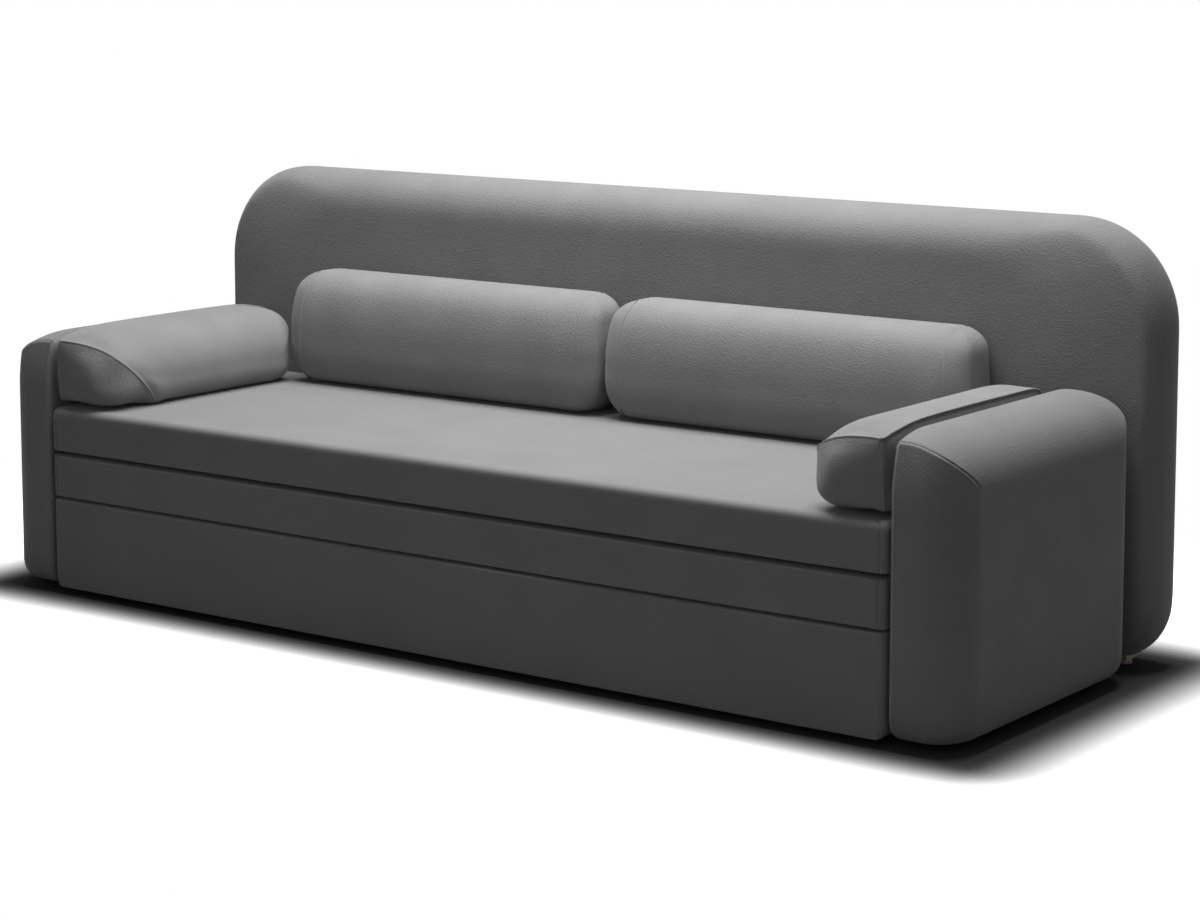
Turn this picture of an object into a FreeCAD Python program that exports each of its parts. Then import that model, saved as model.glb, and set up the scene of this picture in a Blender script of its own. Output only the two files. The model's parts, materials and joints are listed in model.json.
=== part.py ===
import FreeCAD, Part
import math
import os

# Sleeper sofa with a pull-out bed, in millimetres.
# X runs to the right of someone facing the sofa, Y runs backwards, Z is up.
# Pieces are placed from the front plane (y = 0) and the floor (z = 0), and save()
# moves them so that the origin lies on the floor under the middle of the sofa.

Vector = FreeCAD.Vector

# Driving dimensions: the outside of the sofa
floor_gap = 16.0            # floor to the underside of the upholstery
seat_width = 2100.0         # clear width between the arms
seat_depth = 700.0          # front plane to the face of the backrest
arm_width = 139.0
arm_height = 547.0
back_overhang = 16.0        # backrest beyond each arm
back_height = 866.0
back_depth = 190.0

# Driving dimensions: the three layers at the front, from the bottom
base_height = 195.0
lower_gap = 5.0             # bed front to bed mattress
bed_mattress_height = 91.0
upper_gap = 9.0             # bed mattress to seat
seat_height = 94.0

# Rounded edges of the upholstery
arm_top_radius = 92.0       # top edge on the outside of the arm
arm_corner_radius = 80.0    # upright outer corners, seen from above
arm_roll = (95.0, 22.0)     # length and drop of the roof towards each end
arm_bottom_radius = 34.0
arm_inner_radius = 10.0
back_edge_radius = 84.0     # all round the slab, front and rear
back_top_corner = 205.0     # top corners, seen from the front
back_bottom_corner = 112.0
mattress_edge_radius = 12.0
mattress_corner_radius = 14.0
mattress_crown = 3.0
mattress_draw_in = 1.5      # sides of the mattress at mid-height
front_edge_radius = 10.0

# Clearances
soft_gap = 0.3              # soft piece to whatever it rests on or leans against
layer_side_gap = 5.0        # bed layers to each arm
seat_side_gap = 3.0         # seat to each arm
well_gap = 1.0              # seat's hollow underside to the platform in it
axle_clearance = 0.05       # radial, in the wheel and the fork
cheek_clearance = 1.0       # wheel hub to each fork cheek
channel_clearance = 1.0     # guide shoe to each wall of its channel
stop_gap = 1.0              # guide shoe to its stop, bed fully out
screw_clearance = 0.2
slat_end_gap = 1.0

# Seat platform
platform_recess = 2.0       # seat's underside to the underside of the rails
platform_side_gap = 10.0    # rails to each arm
platform_back_gap = 12.0    # rear rail to the backrest
seat_rail_height = 60.0
seat_rail_depth = 30.0
tube_wall = 2.0
seat_lip = 28.0             # foam in front of the front rail
side_rail_width = 30.0
side_rail_height = 26.0
ledger_size = 40.0
ledger_thickness = 3.0
ledger_inset = 4.0          # rails' front and back faces to the ledger's ends
ledger_bolt_drop = 26.0
slat_width = 68.0
slat_thickness = 12.0
slat_ease = 3.0             # chamfer along a slat's edges
slat_pitch = 106.0
slat_holder_wall = 3.0
slat_holder_length = 26.0
slat_holder_drop = 1.0      # holder's rim below the top of its slat
slat_side_gap = 6.0         # outermost slat to the side rail
bolt_radius = 4.0
bolt_length = 44.0
bolt_head_radius = 7.0
bolt_head_height = 1.6
bolt_end_distance = 60.0    # outermost bolts to the ends of the piece they hold

# Rolling bed
panel_thickness = 18.0
front_foam = 24.0
front_wrap = 6.0
panel_corner = 6.0
bed_frame_side_gap = 32.0   # side rails to each arm
bed_back_gap = 10.0         # rear rail to the backrest
side_rail_bottom = 70.0
side_rail_corner = 40.0
rear_rail_corner = 30.0
batten_size = 25.0
cross_rail_width = 45.0
cross_rail_height = 80.0
centre_beam_width = 40.0
centre_beam_height = 60.0
bed_slat_gap = 3.0          # slats to the front panel and the rear rail
bed_slat_inset = 10.0
bracket_size = 50.0
bracket_thickness = 3.0
bracket_height = 40.0
bracket_drop = 60.0         # batten's underside to the bracket's
caster_side_inset = 118.0   # outer casters to the bed frame's sides
caster_front_y = 110.0
caster_rear_inset = 90.0
wheel_radius = 25.0
wheel_width = 22.0
wheel_hub_radius = 9.0
wheel_web = 10.0
wheel_rim = 5.0
wheel_shoulder = 2.5
axle_radius = 4.0
axle_head = 2.0             # radius of a rivet head beyond its pin
axle_head_height = 1.5
fork_thickness = 2.5
fork_boss_radius = 11.0
fork_shoulder = 22.0
fork_plate_thickness = 3.0
fork_plate_length = 78.0
fork_plate_corner = 6.0
fork_screw_spread = 30.0
fork_screw_radius = 2.5
fork_screw_head = 1.8
channel_depth = 20.0
channel_height = 30.0
channel_wall = 2.0
channel_bottom = 110.0
channel_start = 46.0
stop_thickness = 4.0
shoe_length = 40.0
shoe_inset = 2.0
shoe_flange_thickness = 6.0
shoe_flange_margin = 8.0
shoe_flange_front = 12.0
shoe_chamfer = 4.0
buffer_radius = 9.0
buffer_height = 130.0
buffer_bevel = 2.5

# Inside the arms and the backrest
arm_inner_foam = 24.0
arm_outer_foam = 46.0
arm_end_foam = 42.0
arm_top_foam = 50.0
frame_board = 12.0
frame_window_border = 70.0
base_board = 12.0
base_recess = 4.0
back_foam = 45.0
back_frame_border = 60.0
back_bays = 4
post_width = 60.0
post_depth = 66.0
post_overlap = 10.0         # posts run this far up into the frame
glide_radius = 18.0
glide_taper = 3.0
glide_bevel = 4.0
arm_glide_front = 120.0     # front plane to the first glide
glide_plate_gap = 22.0
screw_radius = 3.0
screw_head_height = 2.0
plate_width = 40.0
plate_thickness = 4.0
plate_corner = 8.0
plate_reach = 150.0         # joining plate under the arm
plate_hole_inset = 15.0

# Loose cushions; corner radii run lower front, lower back, upper back, upper front
bolster_depth = 134.0
bolster_height = 252.0
bolster_split = 3.0         # half the gap between the two bolsters
bolster_end_gap = 162.0     # bolster's outer end to the arm
bolster_cap = 62.0          # rounded length at each end
bolster_corners = (30.0, 26.0, 50.0, 66.0)
bolster_fullness = 5.0
arm_cushion_width = 176.0
arm_cushion_height = 156.0
arm_cushion_length = 604.0
arm_cushion_front = 6.0     # front plane to the cushion's end
arm_cushion_side_gap = 6.0  # cushion to the arm beside it
arm_cushion_top_radius = 84.0
arm_cushion_corner_radius = 62.0
arm_cushion_bottom_radius = 50.0
arm_cushion_edge_radius = 14.0
arm_cushion_roll = (90.0, 16.0)

# Worked-out levels and places
overall_depth = seat_depth + back_depth
arm_inner = seat_width / 2
arm_outer = arm_inner + arm_width
back_half_width = arm_outer + back_overhang
base_top = floor_gap + base_height
bed_mattress_bottom = base_top + lower_gap
bed_mattress_top = bed_mattress_bottom + bed_mattress_height
seat_bottom = bed_mattress_top + upper_gap
seat_top = seat_bottom + seat_height
arm_top = floor_gap + arm_height
back_top = floor_gap + back_height
arm_length = seat_depth - soft_gap
board_bottom = floor_gap + base_recess

seat_frame_bottom = seat_bottom + platform_recess
seat_rail_top = seat_frame_bottom + seat_rail_height
seat_slat_top = seat_frame_bottom + side_rail_height
seat_half_width = arm_inner - seat_side_gap
seat_frame_half_width = arm_inner - platform_side_gap
seat_rail_back = seat_lip + seat_rail_depth
seat_rear_rail_back = seat_depth - platform_back_gap
seat_rear_rail_front = seat_rear_rail_back - seat_rail_depth
seat_slat_half = seat_frame_half_width - side_rail_width - slat_side_gap
ledger_front = seat_lip + ledger_inset
ledger_back = seat_rear_rail_back - ledger_inset
ledger_bolt_height = seat_frame_bottom - ledger_bolt_drop

layer_half_width = arm_inner - layer_side_gap
bed_slat_top = bed_mattress_bottom - soft_gap
bed_frame_top = bed_slat_top - slat_thickness
bed_frame_half_width = arm_inner - bed_frame_side_gap
bed_frame_inside = bed_frame_half_width - panel_thickness
bed_frame_front = front_foam + panel_thickness
bed_frame_back = seat_depth - bed_back_gap
rear_rail_front = bed_frame_back - panel_thickness
cross_rail_top = bed_frame_top - centre_beam_height
fork_top = cross_rail_top - cross_rail_height
fork_half_gap = wheel_width / 2 + cheek_clearance
caster_rear_y = bed_frame_back - caster_rear_inset
caster_side_x = bed_frame_half_width - caster_side_inset
shoe_back = bed_frame_back - shoe_inset
shoe_front = shoe_back - shoe_length
bed_travel = shoe_front - (channel_start + stop_thickness) - stop_gap
channel_middle = channel_bottom + channel_height / 2

arm_middle = (arm_inner + arm_inner_foam + arm_outer - arm_outer_foam) / 2
post_y = seat_depth + back_depth / 2
back_glide_y = post_y + post_depth / 2 - glide_radius
plate_front = arm_length - plate_reach
plate_back = back_glide_y - glide_radius
arm_glide_back = plate_front - glide_plate_gap - glide_radius


def spread(low, high, count):
    """Evenly spaced places from low to high."""
    return [low + i * (high - low) / (count - 1) for i in range(count)]


plate_holes = [plate_front + plate_hole_inset, arm_length - arm_end_foam - plate_hole_inset,
               plate_back - plate_hole_inset]
bolt_places = [(y, ledger_bolt_height)
               for y in spread(ledger_front + bolt_end_distance, ledger_back - bolt_end_distance, 3)]
bolt_places += [(y, channel_middle)
                for y in spread(channel_start + bolt_end_distance, bed_frame_back - bolt_end_distance, 3)]


def save(name, *pieces):
    """Write one node, moved so that the origin is under the middle of the sofa."""
    node = pieces[0].copy() if len(pieces) == 1 else Part.makeCompound(list(pieces))
    node.translate(Vector(0, -overall_depth / 2, 0))
    node.exportStep("parts/" + name + ".step")


def save_pair(name, right_piece):
    """Write a right-hand piece and its mirror image on the left."""
    save(name + "_right", right_piece)
    save(name + "_left", mirrored(right_piece))


def mirrored(piece):
    return piece.mirror(Vector(0, 0, 0), Vector(1, 0, 0))


def sorted_range(a, b):
    return (min(a, b), max(a, b))


def block(x, y, z):
    """A box between two x, two y and two z values."""
    return Part.makeBox(x[1] - x[0], y[1] - y[0], z[1] - z[0], Vector(x[0], y[0], z[0]))


def fused(pieces):
    return one_solid(pieces[0].fuse(pieces[1:]).removeSplitter())


def drilled(piece, holes):
    return one_solid(piece.cut(Part.makeCompound(holes)))


def one_solid(shape):
    return shape.Solids[0] if len(shape.Solids) == 1 else shape


def edges_along(piece, axis, keep=lambda centre: True):
    """The straight edges that run along one axis."""
    direction = {"x": Vector(1, 0, 0), "y": Vector(0, 1, 0), "z": Vector(0, 0, 1)}[axis]
    chosen = []
    for edge in piece.Edges:
        if edge.Curve.TypeId != "Part::GeomLine":
            continue
        if abs(abs(edge.tangentAt(edge.FirstParameter).dot(direction)) - 1) > 1e-6:
            continue
        if keep(edge.CenterOfMass):
            chosen.append(edge)
    return chosen


def turned(points, start, axis):
    """A turned piece: (radius, distance) points revolved about an axis from start."""
    profile = Part.makePolygon([Vector(radius, 0, distance) for radius, distance in points + points[:1]])
    piece = Part.Face(profile).revolve(Vector(0, 0, 0), Vector(0, 0, 1), 360)
    piece.Placement = FreeCAD.Placement(start, FreeCAD.Rotation(Vector(0, 0, 1), axis))
    return one_solid(piece)


def headed_pin(start, axis, radius, length, head_radius, head_height):
    """A pin that begins with a wider head."""
    return turned([(0, 0), (head_radius, 0), (head_radius, head_height), (radius, head_height),
                   (radius, length), (0, length)], start, axis)


def outline(corners, radii, bulges, place):
    """A closed wire of straight or gently bulged sides joined by corner arcs.

    corners go round once, radii belong to the corners, and bulges[i] is how far
    the side after corner i stands proud of a straight line."""
    count = len(corners)
    arcs = []
    for i in range(count):
        here = Vector(corners[i][0], corners[i][1], 0)
        before = Vector(corners[i - 1][0], corners[i - 1][1], 0) - here
        after = Vector(corners[(i + 1) % count][0], corners[(i + 1) % count][1], 0) - here
        before.normalize()
        after.normalize()
        half_angle = math.acos(max(-1.0, min(1.0, before.dot(after)))) / 2
        inward = before + after
        inward.normalize()
        reach = radii[i] / math.tan(half_angle)
        centre = here + inward * (radii[i] / math.sin(half_angle))
        arcs.append((here + before * reach, centre - inward * radii[i], here + after * reach))
    edges = []
    for i in range(count):
        start, middle, end = [place(p.x, p.y) for p in arcs[i]]
        edges.append(Part.Arc(start, middle, end).toShape())
        side_start = arcs[i][2]
        side_end = arcs[(i + 1) % count][0]
        along = side_end - side_start
        outward = Vector(along.y, -along.x, 0)
        outward.normalize()
        if abs(bulges[i]) < 1e-6:
            edges.append(Part.LineSegment(place(side_start.x, side_start.y),
                                          place(side_end.x, side_end.y)).toShape())
        else:
            crest = (side_start + side_end) * 0.5 + outward * bulges[i]
            edges.append(Part.Arc(place(side_start.x, side_start.y), place(crest.x, crest.y),
                                  place(side_end.x, side_end.y)).toShape())
    return Part.Wire(edges)


def rectangle(u, v, radii, place, bulges=(0, 0, 0, 0)):
    """A rounded rectangle; radii start at the low u, low v corner and go round."""
    corners = [(u[0], v[0]), (u[1], v[0]), (u[1], v[1]), (u[0], v[1])]
    return outline(corners, radii, bulges, place)


def loft(sections):
    """A soft body of straight bands through its sections."""
    return one_solid(Part.makeLoft(sections, True, True))


def quarter_round(radius, steps):
    """(depth, inset) pairs from a flat face out to the side of a rounded edge."""
    angles = [math.pi / 2 * i / steps for i in range(steps + 1)]
    return [(radius * (1 - math.cos(angle)), radius * (1 - math.sin(angle))) for angle in angles]


def inset_at(depth, radius):
    """How far a rounded edge stands in from its side, at a depth below its face."""
    if depth >= radius:
        return 0.0
    return radius - math.sqrt(radius ** 2 - (radius - depth) ** 2)


def soft_bar(width, length, height, top, corner, bottom, edge, roll, place):
    """A soft bar from front to back, flat along one side and rounded along the other.

    place(across, y, z) sets where it lies; across grows from the flat side. The radii are
    those of the rounded side's top, its upright corners, its bottom, and the flat side's
    edges. roll is the length and the drop of the roof towards each end."""
    def section(y):
        depth = min(y, length - y)
        side = width - inset_at(depth, corner)
        low = inset_at(depth, bottom)
        high = height - roll[1] * max(0.0, 1 - depth / roll[0]) ** 2
        foot = edge + (bottom - edge) * min(1.0, depth / bottom)
        crease = math.acos((side - width + top) / top)

        def roof(angle):
            return (width - top + top * math.cos(angle), high - top + top * math.sin(angle))

        def arc(*points):
            return Part.Arc(*[place(u, y, z) for u, z in points]).toShape()

        def line(*points):
            return Part.LineSegment(*[place(u, y, z) for u, z in points]).toShape()

        skew = 1 - math.sqrt(0.5)
        return Part.Wire([
            line((edge, low), (side - foot, low)),
            arc((side - foot, low), (side - skew * foot, low + skew * foot), (side, low + foot)),
            line((side, low + foot), roof(crease)),
            arc(roof(crease), roof((crease + math.pi / 2) / 2), roof(math.pi / 2)),
            line(roof(math.pi / 2), (edge, high)),
            arc((edge, high), (skew * edge, high - skew * edge), (0, high - edge)),
            line((0, high - edge), (0, low + edge)),
            arc((0, low + edge), (skew * edge, low + skew * edge), (edge, low))])

    depths = [depth for depth, _ in quarter_round(corner, 5)] + [roll[0]]
    return loft([section(y) for y in depths + [length - depth for depth in reversed(depths)]])


# Arms: a soft cover over a box frame, open below and closed by a board

def arm_pocket(z_low, z_high):
    return block((arm_inner + arm_inner_foam, arm_outer - arm_outer_foam),
                 (arm_end_foam, arm_length - arm_end_foam), (z_low, z_high))


def arm_cover():
    cover = soft_bar(arm_width, arm_length, arm_height, arm_top_radius, arm_corner_radius,
                     arm_bottom_radius, arm_inner_radius, arm_roll,
                     lambda across, y, z: Vector(arm_inner + across, y, floor_gap + z))
    plate_slot = block((arm_middle - plate_width / 2 - soft_gap, arm_middle + plate_width / 2 + soft_gap),
                       (plate_front, seat_depth), (0, board_bottom + soft_gap))
    return cover.cut(arm_pocket(0, arm_top - arm_top_foam)).cut(plate_slot)


def arm_frame():
    """Plywood box frame that fills the pocket; its outer side has two windows."""
    low = board_bottom + base_board
    high = arm_top - arm_top_foam
    outer_side = arm_outer - arm_outer_foam
    inside = block((arm_inner + arm_inner_foam + frame_board, outer_side - frame_board),
                   (arm_end_foam + frame_board, arm_length - arm_end_foam - frame_board),
                   (low - 1, high - frame_board))
    frame = arm_pocket(low, high).cut(inside)
    bay = (arm_length - 2 * arm_end_foam - 3 * frame_window_border) / 2
    for i in range(2):
        y = arm_end_foam + frame_window_border + i * (bay + frame_window_border)
        frame = frame.cut(block((outer_side - frame_board - 1, outer_side + 1), (y, y + bay),
                                (low + frame_window_border, high - frame_window_border)))
    return frame


def arm_base():
    return arm_pocket(board_bottom, board_bottom + base_board)


# Backrest: an upholstered slab round a timber frame with three posts

def back_slab(inset, y_low, y_high):
    """The backrest's outline, drawn in by an inset, between two y values."""
    section = rectangle((-back_half_width + inset, back_half_width - inset),
                        (floor_gap + inset, back_top - inset),
                        (back_bottom_corner - inset, back_bottom_corner - inset,
                         back_top_corner - inset, back_top_corner - inset),
                        lambda x, z: Vector(x, y_low, z))
    return Part.Face(section).extrude(Vector(0, y_high - y_low, 0))


def back_posts(z_low, z_high):
    return [block((x - post_width / 2, x + post_width / 2),
                  (post_y - post_depth / 2, post_y + post_depth / 2), (z_low, z_high))
            for x in (-arm_middle, 0, arm_middle)]


def back_cover():
    slab = back_slab(0, seat_depth, overall_depth)
    rims = [edge for edge in slab.Edges if edge.BoundBox.YLength < 0.001]
    cover = slab.makeFillet(back_edge_radius, rims)
    cover = cover.cut(back_slab(back_foam, seat_depth + back_foam, overall_depth - back_foam))
    for post_hole in back_posts(0, floor_gap + back_foam + post_overlap):
        cover = cover.cut(post_hole)
    for side in (-1, 1):
        middle = side * arm_middle
        cover = cover.cut(block((middle - plate_width / 2 - soft_gap, middle + plate_width / 2 + soft_gap),
                                (seat_depth, plate_back + soft_gap), (0, board_bottom + soft_gap)))
    return cover


def back_frame():
    """Border, posts and uprights, cut from one outline."""
    y_low = seat_depth + back_foam
    y_high = overall_depth - back_foam
    frame = back_slab(back_foam, y_low, y_high)
    left = back_foam + back_frame_border - back_half_width
    bay = (-2 * left - (back_bays - 1) * back_frame_border) / back_bays
    for i in range(back_bays):
        x = left + i * (bay + back_frame_border)
        frame = frame.cut(block((x, x + bay), (y_low - 1, y_high + 1),
                                (floor_gap + back_foam + back_frame_border,
                                 back_top - back_foam - back_frame_border)))
    return fused([frame] + back_posts(board_bottom, floor_gap + back_foam + post_overlap))


# Glides and joining plates under the arms and the backrest

def glide(x, y):
    """Nylon glide: a bevelled foot that tapers up to the board."""
    return turned([(0, 0), (glide_radius - glide_bevel, 0), (glide_radius, glide_bevel),
                   (glide_radius - glide_taper, board_bottom), (0, board_bottom)],
                  Vector(x, y, 0), Vector(0, 0, 1))


def joining_plate():
    """Steel strap that ties the arm's base board to the backrest's post."""
    plate = block((arm_middle - plate_width / 2, arm_middle + plate_width / 2),
                  (plate_front, plate_back), (board_bottom - plate_thickness, board_bottom))
    plate = plate.makeChamfer(plate_corner, edges_along(plate, "z"))
    holes = [Part.makeCylinder(screw_radius + screw_clearance, plate_thickness + 2,
                               Vector(arm_middle, y, board_bottom - plate_thickness - 1))
             for y in plate_holes]
    return drilled(plate, holes)


def plate_screws(side):
    """Pan-head screws below the plate, their shanks in the plate's holes."""
    low = board_bottom - plate_thickness - screw_head_height
    return [headed_pin(Vector(side * arm_middle, y, low), Vector(0, 0, 1), screw_radius,
                       board_bottom - low, 2 * screw_radius, screw_head_height) for y in plate_holes]


# Slats, shared by the seat platform and the rolling bed

def slat(x, y_low, y_high, top):
    """A plywood slat with eased long edges, running front to back."""
    plank = block((x - slat_width / 2, x + slat_width / 2), (y_low, y_high), (top - slat_thickness, top))
    return plank.makeChamfer(slat_ease, edges_along(plank, "y"))


def slat_holder(x, y_wall, inward, top):
    """A moulded shoe, open above, that holds one slat end against a rail."""
    half = slat_width / 2 + soft_gap
    low = top - slat_thickness
    y_end = y_wall + inward * slat_holder_length
    shoe = block((x - half - slat_holder_wall, x + half + slat_holder_wall),
                 sorted_range(y_wall, y_end), (low - slat_holder_wall, top - slat_holder_drop))
    pocket = block((x - half, x + half), sorted_range(y_wall + inward * slat_holder_wall, y_end + inward),
                   (low, top))
    return shoe.cut(pocket)


def slat_places(half_width):
    """Slat centres spread evenly about the middle."""
    count = int((2 * half_width - slat_width) // slat_pitch) + 1
    return [(i - (count - 1) / 2) * slat_pitch for i in range(count)]


# Seat platform: steel tube rails on two ledgers, sprung slats, and the soft seat

def tube(x, y, z, axis):
    """A rectangular steel tube between two x, y and z values, open at its ends."""
    cuts = {"x": (1, -tube_wall, -tube_wall), "y": (-tube_wall, 1, -tube_wall)}[axis]
    inner = block((x[0] - cuts[0], x[1] + cuts[0]), (y[0] - cuts[1], y[1] + cuts[1]),
                  (z[0] - cuts[2], z[1] + cuts[2]))
    return block(x, y, z).cut(inner)


def seat_cross_rail(y_low):
    return tube((-seat_frame_half_width, seat_frame_half_width), (y_low, y_low + seat_rail_depth),
                (seat_frame_bottom, seat_rail_top), "x")


def seat_side_rail():
    return tube((seat_frame_half_width - side_rail_width, seat_frame_half_width),
                (seat_rail_back, seat_rear_rail_front), (seat_frame_bottom, seat_slat_top), "y")


def seat_slats():
    end = slat_holder_wall + slat_end_gap
    return [slat(x, seat_rail_back + end, seat_rear_rail_front - end, seat_slat_top)
            for x in slat_places(seat_slat_half)]


def seat_slat_holders():
    return [slat_holder(x, y, inward, seat_slat_top) for x in slat_places(seat_slat_half)
            for y, inward in ((seat_rail_back, 1), (seat_rear_rail_front, -1))]


def arm_bolt_holes(first_x, last_x):
    """Clearance holes for every bolt on the right, between two x values."""
    return [Part.makeCylinder(bolt_radius + screw_clearance, last_x - first_x,
                              Vector(first_x, y, z), Vector(1, 0, 0)) for y, z in bolt_places]


def seat_ledger():
    """Angle steel on the arm's inner face; the platform stands on its flange."""
    upright = block((arm_inner - ledger_thickness, arm_inner), (ledger_front, ledger_back),
                    (seat_frame_bottom - ledger_size, seat_frame_bottom))
    flange = block((arm_inner - ledger_size, arm_inner), (ledger_front, ledger_back),
                   (seat_frame_bottom - ledger_thickness, seat_frame_bottom))
    return drilled(fused([upright, flange]), arm_bolt_holes(arm_inner - ledger_thickness - 1, arm_inner + 1))


def arm_bolts(side):
    """Button-head bolts through the ledger, and flush ones through the channel."""
    bolts = []
    for y, z in bolt_places:
        if z == channel_middle:
            bolts.append(Part.makeCylinder(bolt_radius, bolt_length,
                                           Vector(side * (arm_inner - channel_wall), y, z),
                                           Vector(side, 0, 0)))
        else:
            head_face = side * (arm_inner - ledger_thickness - bolt_head_height)
            bolts.append(headed_pin(Vector(head_face, y, z), Vector(side, 0, 0), bolt_radius,
                                    bolt_length, bolt_head_radius, bolt_head_height))
    return bolts


def pad(half_width, y_low, y_high, z_low, z_high, crown):
    """A boxed mattress: piped edges, sides drawn in at mid-height, a crowned top."""
    def level(z, inset, corner):
        return rectangle((-half_width + inset, half_width - inset), (y_low + inset, y_high - inset),
                         (corner,) * 4, lambda x, y: Vector(x, y, z))
    edge = [(depth, inset, mattress_corner_radius - 0.8 * inset)
            for depth, inset in quarter_round(mattress_edge_radius, 3)]
    sections = [level(z_low + depth, inset, corner) for depth, inset, corner in edge]
    sections.append(level((z_low + z_high) / 2, mattress_draw_in, mattress_corner_radius))
    sections += [level(z_high - depth, inset, corner) for depth, inset, corner in reversed(edge)]
    if crown > 0:
        for rise, inset, corner in ((0.55, 30.0, 12.0), (0.85, 60.0, 24.0), (1.0, 120.0, 40.0)):
            sections.append(level(z_high + rise * crown, inset, corner))
    return loft(sections)


def seat_mattress():
    """The seat, hollow below for the rails, the slats and the ledgers."""
    soft = pad(seat_half_width, 0, seat_depth - soft_gap, seat_bottom, seat_top, 0)
    low = seat_bottom - 1
    well = (-seat_frame_half_width - well_gap, seat_frame_half_width + well_gap)
    soft = soft.cut(block(well, (seat_lip - well_gap, seat_rear_rail_back + well_gap),
                          (low, seat_slat_top + soft_gap)))
    for y_front in (seat_lip, seat_rear_rail_front):
        soft = soft.cut(block(well, (y_front - well_gap, y_front + seat_rail_depth + well_gap),
                              (low, seat_rail_top + soft_gap)))
    for side in (-1, 1):
        ledge = sorted_range(side * arm_inner, side * (arm_inner - ledger_size - well_gap))
        soft = soft.cut(block(ledge, (ledger_front - well_gap, ledger_back + well_gap),
                              (low, seat_frame_bottom + soft_gap)))
    return soft


# Guide channels on the arms, and the stops that end the bed's travel

def guide_channel():
    outer = block((arm_inner - channel_depth, arm_inner), (channel_start, bed_frame_back),
                  (channel_bottom, channel_bottom + channel_height))
    inner = block((arm_inner - channel_depth - 1, arm_inner - channel_wall),
                  (channel_start - 1, bed_frame_back + 1),
                  (channel_bottom + channel_wall, channel_bottom + channel_height - channel_wall))
    return drilled(outer.cut(inner), arm_bolt_holes(arm_inner - channel_wall - 1, arm_inner + 1))


def guide_stop(side):
    return block(sorted_range(side * (arm_inner - channel_wall), side * (arm_inner - channel_depth)),
                 (channel_start, channel_start + stop_thickness),
                 (channel_bottom + channel_wall, channel_bottom + channel_height - channel_wall))


# Rolling bed

def front_pocket(y_low, y_high):
    """The room for the front panel inside its foam."""
    half = layer_half_width - front_wrap
    panel = block((-half, half), (y_low, y_high), (floor_gap + front_wrap, base_top - front_wrap))
    return panel.makeFillet(panel_corner, edges_along(panel, "y"))


def bed_front_panel():
    return front_pocket(front_foam, bed_frame_front)


def bed_front_cover():
    """Foam and fabric over the front, ends, top and bottom of the panel."""
    def level(y, inset):
        return rectangle((-layer_half_width + inset, layer_half_width - inset),
                         (floor_gap + inset, base_top - inset),
                         (mattress_corner_radius - inset / 2,) * 4, lambda x, z: Vector(x, y, z))
    sections = [level(depth, inset) for depth, inset in quarter_round(front_edge_radius, 3)]
    return loft(sections + [level(bed_frame_front, 0)]).cut(front_pocket(front_foam, bed_frame_front + 1))


def bed_side_rail():
    """Plywood side, its lower rear corner cut back in a curve."""
    rail = block((bed_frame_inside, bed_frame_half_width), (bed_frame_front, rear_rail_front),
                 (side_rail_bottom, bed_frame_top))
    return rail.makeFillet(side_rail_corner, edges_along(
        rail, "x", lambda c: c.z < side_rail_bottom + 1 and c.y > seat_depth / 2))


def bed_rear_rail():
    rail = block((-bed_frame_half_width, bed_frame_half_width), (rear_rail_front, bed_frame_back),
                 (side_rail_bottom, bed_frame_top))
    return rail.makeFillet(rear_rail_corner,
                           edges_along(rail, "y", lambda c: c.z < side_rail_bottom + 1))


def bed_batten(y_low):
    return block((-bed_frame_inside, bed_frame_inside), (y_low, y_low + batten_size),
                 (bed_frame_top - batten_size, bed_frame_top))


def bed_cross_rail(x):
    return block((x - cross_rail_width / 2, x + cross_rail_width / 2),
                 (bed_frame_front, rear_rail_front), (fork_top, cross_rail_top))


def bed_centre_beam():
    middle = (bed_frame_front + rear_rail_front) / 2
    return block((-bed_frame_inside, bed_frame_inside),
                 (middle - centre_beam_width / 2, middle + centre_beam_width / 2),
                 (cross_rail_top, bed_frame_top))


def bed_slats():
    return [slat(x, bed_frame_front + bed_slat_gap, rear_rail_front - bed_slat_gap, bed_slat_top)
            for x in slat_places(bed_frame_half_width - bed_slat_inset)]


def bed_corner_bracket(x_side, front):
    """Angle bracket screwed into a side rail and the front panel or rear rail."""
    wall_y = bed_frame_front if front else rear_rail_front
    step = 1 if front else -1
    low = bed_frame_top - batten_size - bracket_drop
    height = (low, low + bracket_height)
    along_side = block((bed_frame_inside - bracket_thickness, bed_frame_inside),
                       sorted_range(wall_y, wall_y + step * bracket_size), height)
    along_end = block((bed_frame_inside - bracket_size, bed_frame_inside),
                      sorted_range(wall_y, wall_y + step * bracket_thickness), height)
    bracket = fused([along_side, along_end])
    return bracket if x_side > 0 else mirrored(bracket)


def bed_mattress():
    return pad(layer_half_width, 0, bed_frame_back, bed_mattress_bottom, bed_mattress_top, mattress_crown)


def guide_shoe(side):
    """Nylon shoe: a flange on the side rail and a bevelled block in the channel."""
    flange = block((bed_frame_half_width, bed_frame_half_width + shoe_flange_thickness),
                   (shoe_front - shoe_flange_front, shoe_back),
                   (channel_bottom - shoe_flange_margin, channel_bottom + channel_height + shoe_flange_margin))
    inset = channel_wall + channel_clearance
    slider = block((bed_frame_half_width, arm_inner - inset), (shoe_front, shoe_back),
                   (channel_bottom + inset, channel_bottom + channel_height - inset))
    slider = slider.makeChamfer(shoe_chamfer, edges_along(slider, "x"))
    shoe = fused([flange, slider])
    return shoe if side > 0 else mirrored(shoe)


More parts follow.
